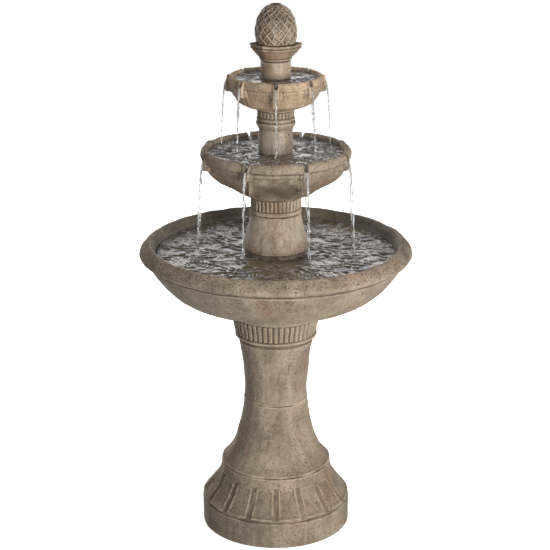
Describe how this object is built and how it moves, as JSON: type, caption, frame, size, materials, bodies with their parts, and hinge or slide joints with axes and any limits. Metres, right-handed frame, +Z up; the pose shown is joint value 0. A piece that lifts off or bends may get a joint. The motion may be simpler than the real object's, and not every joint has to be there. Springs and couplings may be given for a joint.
{
  "type": "tiered water fountain",
  "caption": "Garden fountain with a fluted pedestal, wide basin, spouted bowls on turned columns and a pinecone finial, fed by a submersible pump.",
  "frame": {"origin": "centre of the pedestal's foot, on the ground", "axes": "+Z up the fountain's axis, -Y towards the front, where the upper bowl has a spout and the middle bowl a rim panel"},
  "size_m": [0.6186, 0.6186, 1.224],
  "materials": {
    "cast_stone": "cast resin with a weathered sandstone face",
    "cast_stone_warm": "cast resin with a warmer, wetter sandstone face",
    "black_rubber": "moulded, dull",
    "tube_plastic": "cloudy flexible tube",
    "black_plastic": "fine spark texture",
    "grey_plastic": "smooth moulded",
    "ceramic": "ground ceramic",
    "magnet": "overmoulded ferrite",
    "sponge": "open-cell foam",
    "water": "rippled water"
  },
  "bodies": {
    "pedestal": {"pedestal_base": "cast_stone", "pedestal_shaft": "cast_stone"},
    "basin_set": {"basin": "cast_stone", "basin_cord_gland": "black_rubber", "riser_tube": "tube_plastic", "hose_adapter": "grey_plastic", "pump_motor_housing": "black_plastic", "pump_volute_cover": "black_plastic", "front_shaft_bush": "black_rubber", "rear_shaft_bush": "black_rubber", "rotor_shaft": "ceramic", "suction_cup_1": "black_rubber", "suction_cup_2": "black_rubber", "suction_cup_3": "black_rubber", "suction_cup_4": "black_rubber"},
    "middle_tier": {"middle_column": "cast_stone", "middle_bowl": "cast_stone", "middle_bowl_grommet": "black_rubber"},
    "upper_tier": {"upper_column": "cast_stone", "upper_bowl": "cast_stone_warm", "upper_bowl_grommet": "black_rubber"},
    "finial": {"finial_collar": "cast_stone_warm", "pinecone_finial": "cast_stone_warm"},
    "pump_rotor": {"magnet_rotor": "magnet", "pump_impeller": "grey_plastic"},
    "intake_cover": {"pump_strainer": "black_plastic", "intake_sponge": "sponge"},
    "flow_control": {"flow_knob": "grey_plastic"}
  },
  "joints": [
    {"name": "basin_lift", "type": "slide", "parent": "pedestal", "child": "basin_set", "axis": [0, 0, 1], "range_m": [0, 0.06]},
    {"name": "middle_tier_lift", "type": "slide", "parent": "basin_set", "child": "middle_tier", "axis": [0, 0, 1], "range_m": [0, 0.12]},
    {"name": "upper_tier_lift", "type": "slide", "parent": "middle_tier", "child": "upper_tier", "axis": [0, 0, 1], "range_m": [0, 0.12]},
    {"name": "finial_lift", "type": "slide", "parent": "upper_tier", "child": "finial", "axis": [0, 0, 1], "range_m": [0, 0.12]},
    {"name": "impeller_spin", "type": "hinge", "parent": "basin_set", "child": "pump_rotor", "pos_m": [0, 0, 0.592], "axis": [0, 1, 0], "continuous": true},
    {"name": "intake_cover_slide", "type": "slide", "parent": "basin_set", "child": "intake_cover", "axis": [0, -1, 0], "range_m": [0, 0.018]},
    {"name": "flow_knob_turn", "type": "hinge", "parent": "intake_cover", "child": "flow_control", "pos_m": [0, -0.0315, 0.592], "axis": [0, -1, 0], "range_deg": [0, 90]}
  ]
}
